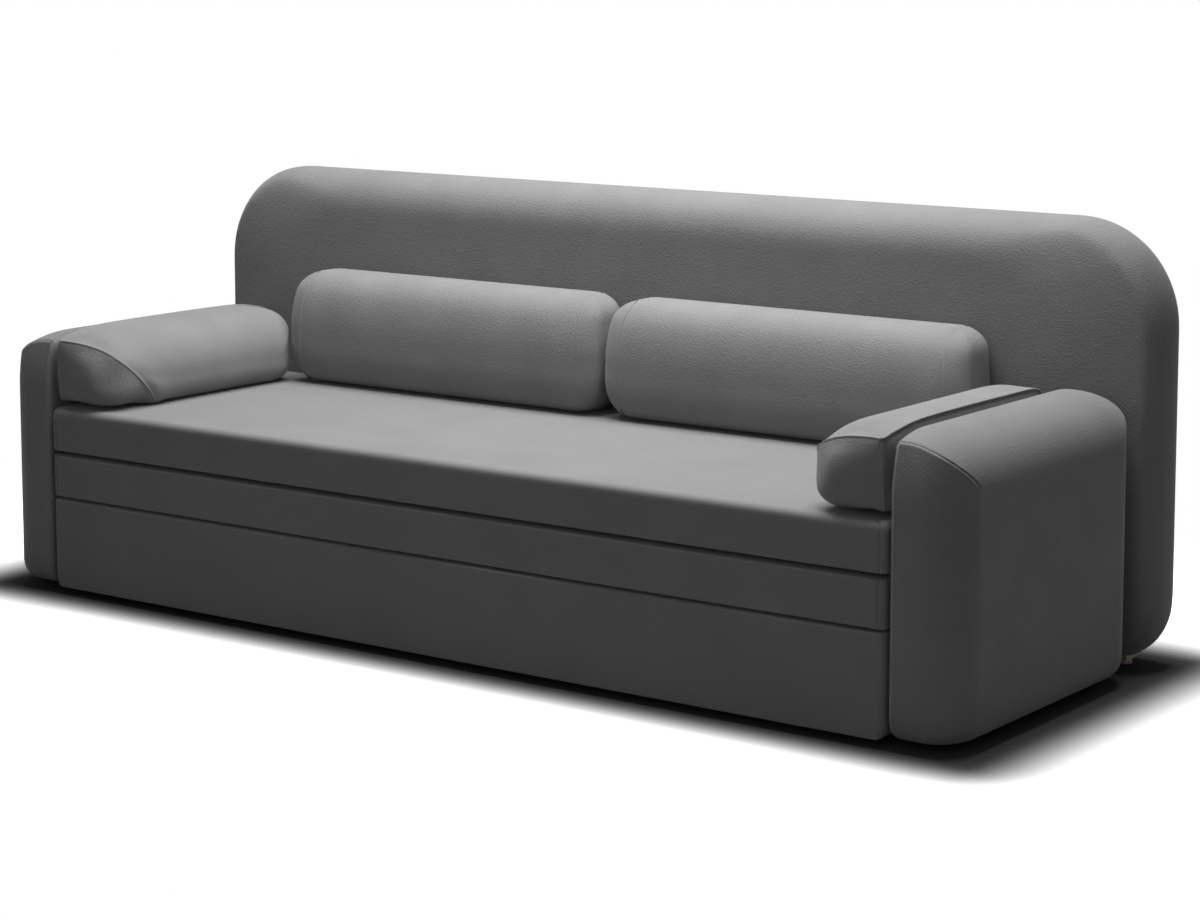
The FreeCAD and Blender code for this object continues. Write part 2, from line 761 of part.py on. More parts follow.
def rear_buffer(side):
    """Rubber buffer with a bevelled end that meets the backrest."""
    length = seat_depth - soft_gap - bed_frame_back
    return turned([(0, 0), (buffer_radius, 0), (buffer_radius, length - buffer_bevel),
                   (buffer_radius - buffer_bevel, length), (0, length)],
                  Vector(side * bed_frame_half_width / 2, bed_frame_back, buffer_height), Vector(0, 1, 0))


# Casters: fork, axle and wheel

def fork_screw_places(y):
    return [y - fork_screw_spread, y + fork_screw_spread]


def caster_fork(x, y):
    """Pressed steel fork: a drilled plate with two tapered, round-ended cheeks."""
    plate_low = fork_top - fork_plate_thickness
    plate = block((x - cross_rail_width / 2, x + cross_rail_width / 2),
                  (y - fork_plate_length / 2, y + fork_plate_length / 2), (plate_low, fork_top))
    plate = plate.makeChamfer(fork_plate_corner, edges_along(plate, "z"))
    cheeks = []
    for x_low in (x - fork_half_gap - fork_thickness, x + fork_half_gap):
        front_top = Vector(x_low, y - fork_shoulder, plate_low)
        front_low = Vector(x_low, y - fork_boss_radius, wheel_radius)
        lowest = Vector(x_low, y, wheel_radius - fork_boss_radius)
        rear_low = Vector(x_low, y + fork_boss_radius, wheel_radius)
        rear_top = Vector(x_low, y + fork_shoulder, plate_low)
        profile = Part.Wire([Part.LineSegment(front_top, front_low).toShape(),
                             Part.Arc(front_low, lowest, rear_low).toShape(),
                             Part.LineSegment(rear_low, rear_top).toShape(),
                             Part.LineSegment(rear_top, front_top).toShape()])
        cheeks.append(Part.Face(profile).extrude(Vector(fork_thickness, 0, 0)))
    fork = fused([plate] + cheeks)
    bore = Part.makeCylinder(axle_radius + axle_clearance, cross_rail_width,
                             Vector(x - cross_rail_width / 2, y, wheel_radius), Vector(1, 0, 0))
    holes = [Part.makeCylinder(fork_screw_radius + screw_clearance, fork_plate_thickness + 2,
                               Vector(x, screw_y, plate_low - 1)) for screw_y in fork_screw_places(y)]
    return drilled(fork, [bore] + holes)


def caster_axle(x, y):
    """Riveted pin with a head outside each cheek."""
    half = fork_half_gap + fork_thickness
    head = axle_radius + axle_head
    return turned([(0, 0), (head, 0), (head, axle_head_height), (axle_radius, axle_head_height),
                   (axle_radius, axle_head_height + 2 * half), (head, axle_head_height + 2 * half),
                   (head, 2 * (axle_head_height + half)), (0, 2 * (axle_head_height + half))],
                  Vector(x - half - axle_head_height, y, wheel_radius), Vector(1, 0, 0))


def caster_wheel(x, y):
    """Wheel with a hub, a thinner web and a bevelled tread, turned about its axle."""
    bore = axle_radius + axle_clearance
    hub_half = wheel_width / 2
    rim_half = hub_half - 1.0
    rim_inner = wheel_radius - wheel_rim
    half = [(bore, hub_half), (wheel_hub_radius, hub_half), (wheel_hub_radius + 1, wheel_web / 2),
            (rim_inner - 1, wheel_web / 2), (rim_inner, rim_half),
            (wheel_radius - wheel_shoulder, rim_half), (wheel_radius, rim_half - wheel_shoulder)]
    points = half + [(radius, -distance) for radius, distance in reversed(half)]
    return turned(points, Vector(x, y, wheel_radius), Vector(1, 0, 0))


def fork_screws(x, y):
    """Pan-head screws through the fork plate, up to the cross rail."""
    low = fork_top - fork_plate_thickness - fork_screw_head
    return [headed_pin(Vector(x, screw_y, low), Vector(0, 0, 1), fork_screw_radius, fork_top - low,
                       2 * fork_screw_radius, fork_screw_head) for screw_y in fork_screw_places(y)]


# Loose cushions: sections along the cushion, drawn in towards each rounded end

def cushion(level, start, end, cap):
    """level(place, inset, swell) draws one section; inset and swell follow the cap."""
    cap_rounds = [(depth, inset, 0.4 + 0.6 * depth / cap) for depth, inset in quarter_round(cap, 5)]
    sections = [level(start + depth, inset, swell) for depth, inset, swell in cap_rounds]
    sections.append(level((start + end) / 2, 0.0, 1.4))
    sections += [level(end - depth, inset, swell) for depth, inset, swell in reversed(cap_rounds)]
    return loft(sections)


def bolster():
    """D-shaped back bolster, fuller at its front and middle."""
    y_back = seat_depth - soft_gap
    y_front = y_back - bolster_depth
    z_low = seat_top + soft_gap
    z_high = z_low + bolster_height

    def level(x, inset, swell):
        radii = [radius * (1 - inset / (bolster_cap * 1.6)) for radius in bolster_corners]
        return rectangle((y_front + bolster_fullness + 0.9 * inset, y_back - 0.35 * inset),
                         (z_low + 0.3 * inset, z_high - bolster_fullness + 3.0 * swell - inset), radii,
                         lambda y, z: Vector(x, y, z), (0, 0, 2.0 * swell, bolster_fullness * swell))
    return cushion(level, bolster_split, arm_inner - bolster_end_gap, bolster_cap)


def arm_cushion():
    """D-shaped cushion: flat beside the arm, full and round towards the seat."""
    x_out = arm_inner - arm_cushion_side_gap
    return soft_bar(arm_cushion_width, arm_cushion_length, arm_cushion_height, arm_cushion_top_radius,
                    arm_cushion_corner_radius, arm_cushion_bottom_radius, arm_cushion_edge_radius,
                    arm_cushion_roll,
                    lambda across, y, z: Vector(x_out - across, arm_cushion_front + y,
                                                seat_top + soft_gap + z))


# Write every node

os.makedirs("parts", exist_ok=True)

bolt_holes = arm_bolt_holes(arm_inner - 1, arm_inner + bolt_length)
save_pair("arm_cover", drilled(arm_cover(), bolt_holes))
save_pair("arm_frame", drilled(arm_frame(), bolt_holes))
save_pair("arm_base", arm_base())
save("back_cover", one_solid(back_cover()))
save("back_frame", back_frame())

save("arm_glides", *[glide(side * arm_middle, y) for side in (-1, 1)
                     for y in (arm_glide_front, arm_glide_back)])
save("back_glides", *[glide(x, back_glide_y) for x in (-arm_middle, 0, arm_middle)])
save_pair("joining_plate", joining_plate())
save("plate_screws", *[screw for side in (-1, 1) for screw in plate_screws(side)])

save("seat_front_rail", seat_cross_rail(seat_lip))
save("seat_rear_rail", seat_cross_rail(seat_rear_rail_front))
save_pair("seat_side_rail", seat_side_rail())
save("seat_slats", *seat_slats())
save("seat_slat_holders", *seat_slat_holders())
save_pair("seat_ledger", seat_ledger())
save("arm_bolts", *[bolt for side in (-1, 1) for bolt in arm_bolts(side)])
save("seat_mattress", one_solid(seat_mattress()))

save_pair("guide_channel", guide_channel())
save("guide_stops", guide_stop(-1), guide_stop(1))

save("bed_front_panel", bed_front_panel())
save("bed_front_cover", one_solid(bed_front_cover()))
save_pair("bed_side_rail", bed_side_rail())
save("bed_rear_rail", bed_rear_rail())
save("bed_front_batten", bed_batten(bed_frame_front))
save("bed_rear_batten", bed_batten(rear_rail_front - batten_size))
save("bed_centre_beam", bed_centre_beam())
save("bed_slats", *bed_slats())
save("bed_corner_brackets", *[bed_corner_bracket(side, front) for side in (-1, 1) for front in (True, False)])
save("bed_mattress", bed_mattress())
save("guide_shoes", guide_shoe(-1), guide_shoe(1))
save("rear_buffers", rear_buffer(-1), rear_buffer(1))

caster_columns = {"left": -caster_side_x, "centre": 0.0, "right": caster_side_x}
caster_rows = {"front": caster_front_y, "rear": caster_rear_y}
axles = []
screws = []
for column, x in caster_columns.items():
    save("bed_cross_rail_" + column, bed_cross_rail(x))
    for row, y in caster_rows.items():
        save("caster_fork_" + row + "_" + column, caster_fork(x, y))
        save("wheel_" + row + "_" + column, caster_wheel(x, y))
        axles.append(caster_axle(x, y))
        screws += fork_screws(x, y)
save("caster_axles", *axles)
save("caster_screws", *screws)

save_pair("bolster", bolster())
save_pair("arm_cushion", arm_cushion())

print("bed travel", bed_travel, "overall depth", overall_depth)
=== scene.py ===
import json
import math

import bmesh
import bpy
from mathutils import Euler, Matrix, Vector, noise


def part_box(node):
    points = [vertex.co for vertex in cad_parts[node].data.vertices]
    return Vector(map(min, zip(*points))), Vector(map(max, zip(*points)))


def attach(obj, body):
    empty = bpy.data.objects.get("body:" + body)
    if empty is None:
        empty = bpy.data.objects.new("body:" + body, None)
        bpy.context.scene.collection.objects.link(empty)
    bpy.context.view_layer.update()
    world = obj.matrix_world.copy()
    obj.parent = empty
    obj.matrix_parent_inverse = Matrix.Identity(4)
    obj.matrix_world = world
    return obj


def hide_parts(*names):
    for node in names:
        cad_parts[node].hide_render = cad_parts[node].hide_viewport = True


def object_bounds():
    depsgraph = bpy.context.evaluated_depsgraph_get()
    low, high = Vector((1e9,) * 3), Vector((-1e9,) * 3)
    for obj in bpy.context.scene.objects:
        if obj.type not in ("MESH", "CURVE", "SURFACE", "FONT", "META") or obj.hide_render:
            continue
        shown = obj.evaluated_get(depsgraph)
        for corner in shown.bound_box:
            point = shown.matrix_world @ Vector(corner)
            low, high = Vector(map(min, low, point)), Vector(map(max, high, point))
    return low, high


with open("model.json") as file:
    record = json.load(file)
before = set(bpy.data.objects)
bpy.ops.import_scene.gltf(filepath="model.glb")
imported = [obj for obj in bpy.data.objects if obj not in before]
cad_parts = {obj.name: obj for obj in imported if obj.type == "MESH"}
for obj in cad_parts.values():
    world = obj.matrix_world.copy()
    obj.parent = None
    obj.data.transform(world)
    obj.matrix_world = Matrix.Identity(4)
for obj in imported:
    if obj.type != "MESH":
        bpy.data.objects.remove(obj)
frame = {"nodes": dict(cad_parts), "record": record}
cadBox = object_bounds()
nodes = frame["nodes"]
print("frame loaded:", len(nodes), "nodes")

# ---- camera, light and floor ----

cameraSettings = {
    "place": (3.602, -4.790, 1.444),
    "turn": 36.17,      # degrees to the left of straight ahead
    "dip": 6.92,        # degrees below the horizon
    "lens": 87.88,
    "shift": -0.15,
}


def makeCamera(s):
    data = bpy.data.cameras.new("camera")
    data.lens = s["lens"]
    data.sensor_width = 36.0
    data.shift_y = s["shift"]
    camera = bpy.data.objects.new("camera", data)
    camera.location = s["place"]
    camera.rotation_euler = Euler((math.radians(90 - s["dip"]), 0, math.radians(s["turn"])))
    bpy.context.scene.collection.objects.link(camera)
    bpy.context.scene.camera = camera


lightSettings = {
    "topSize": (2.6, 1.35), "topPlace": (0.12, 0.02, 2.75), "topPower": 121.0,
    "fillSize": (3.0, 1.6), "fillPlace": (1.6, -4.2, 1.7), "fillAim": (0, 0, 0.3),
    "fillPower": 11.0,
    "world": 0.10,
}


def areaLight(name, size, place, aim, power):
    data = bpy.data.lights.new(name, "AREA")
    data.shape = "RECTANGLE"
    data.size, data.size_y = size
    data.energy = power
    lamp = bpy.data.objects.new(name, data)
    lamp.location = place
    lamp.rotation_euler = (Vector(aim) - Vector(place)).to_track_quat("-Z", "Y").to_euler()
    bpy.context.scene.collection.objects.link(lamp)


def mathNode(tree, operation, one, two=None):
    node = tree.nodes.new("ShaderNodeMath")
    node.operation = operation
    for socket, value in zip(node.inputs, (one, two)):
        if value is None:
            continue
        if isinstance(value, (int, float)):
            socket.default_value = value
        else:
            tree.links.new(value, socket)
    return node.outputs[0]


def rangeNode(tree, value, source, target):
    node = tree.nodes.new("ShaderNodeMapRange")
    node.interpolation_type = "SMOOTHSTEP"
    node.inputs["From Min"].default_value, node.inputs["From Max"].default_value = source
    node.inputs["To Min"].default_value, node.inputs["To Max"].default_value = target
    tree.links.new(value, node.inputs["Value"])
    return node.outputs[0]


def seenRay(tree):
    # 1 for what the camera, a reflection or glass looks at, 0 for light that bounces
    path = tree.nodes.new("ShaderNodeLightPath")
    glass = path.outputs["Is Transmission Ray"]
    mirrored = mathNode(tree, "MAXIMUM", path.outputs["Is Glossy Ray"], glass)
    return mathNode(tree, "MAXIMUM", path.outputs["Is Camera Ray"], mirrored)


def makeLights(s):
    below = (s["topPlace"][0], s["topPlace"][1], 0)
    areaLight("top_light", s["topSize"], s["topPlace"], below, s["topPower"])
    areaLight("fill_light", s["fillSize"], s["fillPlace"], s["fillAim"], s["fillPower"])
    world = bpy.data.worlds.new("studio")
    bpy.context.scene.world = world
    world.use_nodes = True
    tree = world.node_tree
    background = tree.nodes["Background"]
    background.inputs["Color"].default_value = (1, 1, 1, 1)
    lit = mathNode(tree, "MULTIPLY_ADD", seenRay(tree), 1 - s["world"])
    lit.node.inputs[2].default_value = s["world"]
    tree.links.new(lit, background.inputs["Strength"])


floorSettings = {
    # underShade and shadeReach set the painted shadow below the sofa, darkest inside its floor area
    "size": 40.0, "shade": 2.1, "underShade": 0.10, "shadeReach": 0.20, "bounce": 0.12,
    "whiteFrom": 0.25, "whiteTo": 1.1,
}


def makeFloor(s):
    bm = bmesh.new()
    bmesh.ops.create_grid(bm, x_segments=1, y_segments=1, size=s["size"] / 2)
    mesh = bpy.data.meshes.new("floor")
    bm.to_mesh(mesh)
    bm.free()
    floor = bpy.data.objects.new("floor", mesh)
    bpy.context.scene.collection.objects.link(floor)
    material = bpy.data.materials.new("studio_floor")
    material.use_nodes = True
    tree = material.node_tree
    tree.nodes.clear()
    shades = []
    for value in (s["bounce"], s["shade"]):
        diffuse = tree.nodes.new("ShaderNodeBsdfDiffuse")
        diffuse.inputs["Color"].default_value = (value, value, value, 1)
        shades.append(diffuse.outputs[0])
    white = tree.nodes.new("ShaderNodeEmission")
    # distance outside the sofa's own floor area: a painted shadow darkens the floor below the sofa,
    # on top of its real shadow, lightens beside it and fades to white further out
    split = tree.nodes.new("ShaderNodeSeparateXYZ")
    tree.links.new(tree.nodes.new("ShaderNodeTexCoord").outputs["Object"], split.inputs[0])
    outside = []
    for output, reach in ((0, cadBox[1][0]), (1, cadBox[1][1])):
        size = mathNode(tree, "ABSOLUTE", split.outputs[output])
        outside.append(mathNode(tree, "MAXIMUM", mathNode(tree, "SUBTRACT", size, reach), 0.0))
    squares = [mathNode(tree, "MULTIPLY", value, value) for value in outside]
    distance = mathNode(tree, "SQRT", mathNode(tree, "ADD", *squares))
    paintedShadow = rangeNode(tree, distance, (0.0, s["shadeReach"]), (s["underShade"], s["shade"]))
    grey = tree.nodes.new("ShaderNodeCombineXYZ")
    for socket in grey.inputs:
        tree.links.new(paintedShadow, socket)
    tree.links.new(grey.outputs[0], shades[1].node.inputs["Color"])
    fade = rangeNode(tree, distance, (s["whiteFrom"], s["whiteTo"]), (0.0, 1.0))
    seen = tree.nodes.new("ShaderNodeMixShader")
    tree.links.new(fade, seen.inputs[0])
    tree.links.new(shades[1], seen.inputs[1])
    tree.links.new(white.outputs[0], seen.inputs[2])
    mix = tree.nodes.new("ShaderNodeMixShader")
    tree.links.new(seenRay(tree), mix.inputs[0])
    tree.links.new(shades[0], mix.inputs[1])
    tree.links.new(seen.outputs[0], mix.inputs[2])
    # clear from below, so that the underside can be looked at
    below = tree.nodes.new("ShaderNodeMixShader")
    tree.links.new(tree.nodes.new("ShaderNodeNewGeometry").outputs["Backfacing"], below.inputs[0])
    tree.links.new(mix.outputs[0], below.inputs[1])
    tree.links.new(tree.nodes.new("ShaderNodeBsdfTransparent").outputs[0], below.inputs[2])
    output = tree.nodes.new("ShaderNodeOutputMaterial")
    tree.links.new(below.outputs[0], output.inputs["Surface"])
    mesh.materials.append(material)


# ---- materials ----

def newMaterial(name):
    material = bpy.data.materials.new(name)
    material.use_nodes = True
    tree = material.node_tree
    shader = tree.nodes["Principled BSDF"]
    place = tree.nodes.new("ShaderNodeTexCoord")
    return material, tree, shader, place.outputs["Object"]


def addNoise(tree, place, scale, detail=2.0, roughness=0.5):
    texture = tree.nodes.new("ShaderNodeTexNoise")
    texture.inputs["Scale"].default_value = scale
    texture.inputs["Detail"].default_value = detail
    texture.inputs["Roughness"].default_value = roughness
    tree.links.new(place, texture.inputs["Vector"])
    return texture.outputs["Fac"]


def addRamp(tree, factor, low, high, start=0.3, end=0.7):
    ramp = tree.nodes.new("ShaderNodeValToRGB")
    ramp.color_ramp.elements[0].position = start
    ramp.color_ramp.elements[1].position = end
    ramp.color_ramp.elements[0].color = (*low, 1)
    ramp.color_ramp.elements[1].color = (*high, 1)
    tree.links.new(factor, ramp.inputs["Fac"])
    return ramp.outputs["Color"]


def addBump(tree, height, distance, strength=1.0, below=None):
    bump = tree.nodes.new("ShaderNodeBump")
    bump.inputs["Distance"].default_value = distance
    bump.inputs["Strength"].default_value = strength
    tree.links.new(height, bump.inputs["Height"])
    if below is not None:
        tree.links.new(below, bump.inputs["Normal"])
    return bump.outputs["Normal"]


def stretched(tree, place, scale):
    mapping = tree.nodes.new("ShaderNodeMapping")
    mapping.inputs["Scale"].default_value = scale
    tree.links.new(place, mapping.inputs["Vector"])
    return mapping.outputs["Vector"]


fabricSettings = {
    # the arm shade darkens the arms' and backrest's copy of the one cloth: painted shade, not a
    # darker fabric
    "colour": 0.205, "armBackPaintedShade": 0.86,
    "grained": {
        "patches": 9.0, "patchDetail": 3.0, "spread": 0.06,
        "roughness": 0.82, "specular": 0.28, "sheen": 0.12, "sheenRoughness": 0.5,
        "grain": 300.0, "grainDepth": 0.0012, "grainStrength": 0.48,
        "soft": 225.0, "softDetail": 3.0, "softRoughness": 0.55, "softStrength": 0.42,
    },
    "napped": {
        "patches": 5.0, "patchDetail": 4.0, "spread": 0.05,
        "roughness": 0.88, "specular": 0.22, "sheen": 0.16, "sheenRoughness": 0.4,
        "fibre": 900.0, "fibreDetail": 3.0, "fibreRoughness": 0.6, "fibreDepth": 0.0004,
        "fibreStrength": 0.35, "nap": 60.0, "napDetail": 3.0, "napDepth": 0.0008,
        "napStrength": 0.25,
    },
}


def newFabric(name, shade, s):
    # the one grey of the sofa, a little uneven, with a soft sheen; a shade below 1 paints shade
    # into a darker copy of it
    material, tree, shader, place = newMaterial(name)
    wide = addNoise(tree, place, s["patches"], s["patchDetail"])
    value = fabricSettings["colour"] * shade
    colour = addRamp(tree, wide, [value * (1 - s["spread"])] * 3, [value * (1 + s["spread"])] * 3)
    tree.links.new(colour, shader.inputs["Base Color"])
    shader.inputs["Roughness"].default_value = s["roughness"]
    shader.inputs["Specular IOR Level"].default_value = s["specular"]
    shader.inputs["Sheen Weight"].default_value = s["sheen"]
    shader.inputs["Sheen Roughness"].default_value = s["sheenRoughness"]
    return material, tree, shader, place


def grainedFabric(name, shade):
    # matt upholstery with a fine pebbled grain
    s = fabricSettings["grained"]
    material, tree, shader, place = newFabric(name, shade, s)
    cells = tree.nodes.new("ShaderNodeTexVoronoi")
    cells.feature = "SMOOTH_F1"
    cells.inputs["Scale"].default_value = s["grain"]
    tree.links.new(place, cells.inputs["Vector"])
    fine = addBump(tree, cells.outputs["Distance"], s["grainDepth"], s["grainStrength"])
    soft = addNoise(tree, place, s["soft"], s["softDetail"], s["softRoughness"])
    pebbles = addBump(tree, soft, s["grainDepth"], s["softStrength"], fine)
    tree.links.new(pebbles, shader.inputs["Normal"])
    return material


def nappedFabric(name):
    # smoother short-nap cloth, as on the mattresses and the base front
    s = fabricSettings["napped"]
    material, tree, shader, place = newFabric(name, 1.0, s)
    fibre = addNoise(tree, place, s["fibre"], s["fibreDetail"], s["fibreRoughness"])
    fine = addBump(tree, fibre, s["fibreDepth"], s["fibreStrength"])
    soft = addNoise(tree, place, s["nap"], s["napDetail"])
    nap = addBump(tree, soft, s["napDepth"], s["napStrength"], fine)
    tree.links.new(nap, shader.inputs["Normal"])
    return material


def wood(name, light, dark, grainScale, along):
    # planed wood with its grain along one axis
    material, tree, shader, place = newMaterial(name)
    scale = [grainScale] * 3
    scale[along] = grainScale * 0.06
    rings = addNoise(tree, stretched(tree, place, scale), 1.0, 5.0, 0.62)
    colour = addRamp(tree, rings, dark, light, 0.35, 0.68)
    tree.links.new(colour, shader.inputs["Base Color"])
    shader.inputs["Roughness"].default_value = 0.55
    tree.links.new(addBump(tree, rings, 0.0004, 0.3), shader.inputs["Normal"])
    return material


def metal(name, colour, roughness, metallic, speckle):
    material, tree, shader, place = newMaterial(name)
    patches = addNoise(tree, place, 40.0, 4.0)
    bright = [min(1.0, c * 1.12) for c in colour]
    shades = addRamp(tree, patches, [c * 0.85 for c in colour], bright)
    tree.links.new(shades, shader.inputs["Base Color"])
    shader.inputs["Metallic"].default_value = metallic
    shader.inputs["Roughness"].default_value = roughness
    fine = addNoise(tree, place, speckle, 2.0)
    tree.links.new(addBump(tree, fine, 0.0002, 0.3), shader.inputs["Normal"])
    return material


def makeMaterials():
    return {
        # the arms and the backrest: the cushions' cloth darkened, as painted shade
        "upholstery": grainedFabric("upholstery_painted_shade", fabricSettings["armBackPaintedShade"]),
        "cushion_fabric": grainedFabric("cushion_grained", 1.0),
        "mattress_fabric": nappedFabric("mattress_napped"),
        "base_fabric": nappedFabric("base_napped"),
        "timber": wood("planed_softwood", (0.60, 0.44, 0.27), (0.42, 0.28, 0.15), 22.0, 0),
        "plywood": wood("sanded_plywood", (0.56, 0.42, 0.27), (0.45, 0.32, 0.19), 16.0, 1),
        "slat_wood": wood("beech_slats", (0.66, 0.49, 0.31), (0.52, 0.36, 0.21), 30.0, 1),
        "black_steel": metal("powder_coat", (0.022, 0.022, 0.023), 0.55, 0.0, 1400.0),
        "zinc_steel": metal("zinc_plate", (0.52, 0.53, 0.54), 0.38, 1.0, 500.0),
        "bright_steel": metal("bright_zinc", (0.60, 0.60, 0.60), 0.26, 1.0, 700.0),
        "black_nylon": metal("moulded_nylon", (0.028, 0.028, 0.030), 0.48, 0.0, 900.0),
        "black_rubber": metal("matt_rubber", (0.020, 0.020, 0.020), 0.85, 0.0, 600.0),
    }


def dressNodes(finishes):
    slots = {part["node"]: part["material_slot"] for part in frame["record"]["subparts"]}
    for name, node in nodes.items():
        finish = finishes[slots[name]]
        if not node.material_slots:
            node.data.materials.append(finish)
        for holder in node.material_slots:
            holder.material = finish


# ---- soft forms ----

def boxGrid(low, high, cell):
    # a box whose faces are divided into even quads
    bm = bmesh.new()
    bmesh.ops.create_cube(bm, size=1.0)
    size = high - low
    bmesh.ops.scale(bm, vec=size, verts=bm.verts)
    bmesh.ops.translate(bm, vec=(low + high) / 2, verts=bm.verts)
    for axis in range(3):
        cuts = max(2, round(size[axis] / cell)) - 1
        along = [e for e in bm.edges
                 if abs((e.verts[0].co - e.verts[1].co)[axis]) > size[axis] * 0.5]
        bmesh.ops.subdivide_edges(bm, edges=along, cuts=cuts, use_grid_fill=True)
    return bm


def roundedPlace(point, low, high, radii):
    # where a point of a box's surface lies once the edges are rounded;
    # radii(signs) gives the rounding's reach along each axis at that corner
    middle = (low + high) / 2
    signs = [1 if point[axis] > middle[axis] else -1 for axis in range(3)]
    reach = radii(signs)
    core = point.copy()
    share = Vector((0, 0, 0))
    for axis in range(3):
        side = high[axis] if signs[axis] > 0 else low[axis]
        depth = abs(side - point[axis])
        if depth < reach[axis]:
            share[axis] = signs[axis] * (1 - depth / reach[axis])
            core[axis] = side - signs[axis] * reach[axis]
    if share.length > 0:
        share *= max(abs(c) for c in share) / share.length
    return core + Vector((share[axis] * reach[axis] for axis in range(3)))


def pinch(bm, edges, width, depth, rim=0.0):
    # sinks a seam along a chain of edges; with a rim, its front lip stands up beside the groove
    made = bmesh.ops.bevel(bm, geom=edges, offset=width / 2, offset_type="OFFSET",
                           segments=3 if rim else 2, profile=0.5, affect="EDGES", material=-1)
    strip = set(made["faces"])
    bm.normal_update()
    inner = {v for v in made["verts"] if v.link_faces and all(f in strip for f in v.link_faces)}
    moves = []
    for vert in inner:
        move = -depth
        if rim:
            beside = [e.other_vert(vert) for e in vert.link_edges if e.other_vert(vert) in inner]
            if not beside:
                continue
            partner = min(beside, key=lambda v: (v.co - vert.co).length)
            if vert.co.y + vert.co.z < partner.co.y + partner.co.z:
                move = rim
        moves.append((vert, vert.normal * move))
    for vert, move in moves:
        vert.co += move


def pinchChain(bm, verts, s):
    # sinks the seam along the edges between some points
    marked = set(verts)
    chain = [e for e in bm.edges if e.verts[0] in marked and e.verts[1] in marked]
    pinch(bm, chain, s["seamWidth"], s["seamDepth"])


def finishPiece(bm, name, finish, body, node):
    bmesh.ops.recalc_face_normals(bm, faces=bm.faces)
    mesh = bpy.data.meshes.new(name)
    bm.to_mesh(mesh)
    bm.free()
    mesh.polygons.foreach_set("use_smooth", [True] * len(mesh.polygons))
    mesh.materials.append(finish)
    piece = bpy.data.objects.new(name, mesh)
    bpy.context.scene.collection.objects.link(piece)
    subdivision = piece.modifiers.new("smooth", "SUBSURF")
    subdivision.levels = subdivision.render_levels = 1
    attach(piece, body)
    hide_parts(node)
    print("made", name, len(mesh.polygons), "faces")


# ---- soft bars: the arms and the arm cushions ----

def unitGrid(counts):
    # a box of even quads, one metre each way, with its low corner at the origin
    bm = bmesh.new()
    bmesh.ops.create_cube(bm, size=1.0)
    bmesh.ops.translate(bm, vec=(0.5, 0.5, 0.5), verts=bm.verts)
    for axis in range(3):
        along = [e for e in bm.edges if abs((e.verts[0].co - e.verts[1].co)[axis]) > 0.5]
        bmesh.ops.subdivide_edges(bm, edges=along, cuts=counts[axis] - 1, use_grid_fill=True)
    return bm


nearZero, nearOne = 0.001, 0.999    # grid marks beyond these lie on the grid's outer faces


def insetAt(depth, radius):
    # how far a quarter round stands in, at a depth from its start
    if depth >= radius:
        return 0.0
    return radius - math.sqrt(max(0.0, radius ** 2 - (radius - depth) ** 2))


def barPlan(a, b, c, s):
    # the point seen from above: (across, depth from the nearer end)
    width, length, height = s["size"]
    corner = s["corner"]
    ends = s["endCells"] / s["cells"][1]
    flatShare = s["flatCells"] / s["cells"][0]
    near = min(b, 1 - b)
    inEnd = near < ends
    q = 1 - near / ends if inEnd else 0.0
    depth = corner + (near - ends) / (1 - 2 * ends) * (length - 2 * corner)
    flat = width - max(corner, s["roofReach"])
    if a <= flatShare:
        across = flat * a / flatShare
        if inEnd:
            depth = corner * (1 - q)
    else:
        p = (a - flatShare) / (1 - flatShare)
        p += (math.sin(p * math.pi / 2) - p) * (1 - q)
        across = flat + (width - flat) * p
        if inEnd:
            # the square corner of the grid becomes a quarter round in plan
            start = width - corner
            rounded = max(0.0, across - start) / corner
            if rounded > 0:
                across = start + corner * rounded * math.sqrt(1 - q * q / 2)
            depth = corner * (1 - q * math.sqrt(1 - rounded * rounded / 2))
    if "lean" in s and a > nearOne and b < 0.5:
        # the side's columns lean back below the roof, so that one of them is the seam
        reach = b / ends if b < ends else max(0.0, 1 - (b - ends) / (0.5 - ends))
        depth += s["lean"] * (1 - c) * reach
        across = width - insetAt(depth, corner)
    return across, depth


def barTop(across, depth, s):
    # the height of the top, which falls towards the rounded side and towards both ends
    width, length, height = s["size"]
    over = max(0.0, across - (width - s["roofReach"])) / s["roofReach"]
    fallen = s["roof"] * (1 - math.sqrt(max(0.0, 1 - min(1.0, over) ** 2)))
    fallen += s["rollDrop"] * max(0.0, 1 - depth / s["rollLength"]) ** 2
    fallen += s["crown"] * (1 - math.sin(math.pi * min(1.0, across / width))) * (1 - over)
    return height - fallen


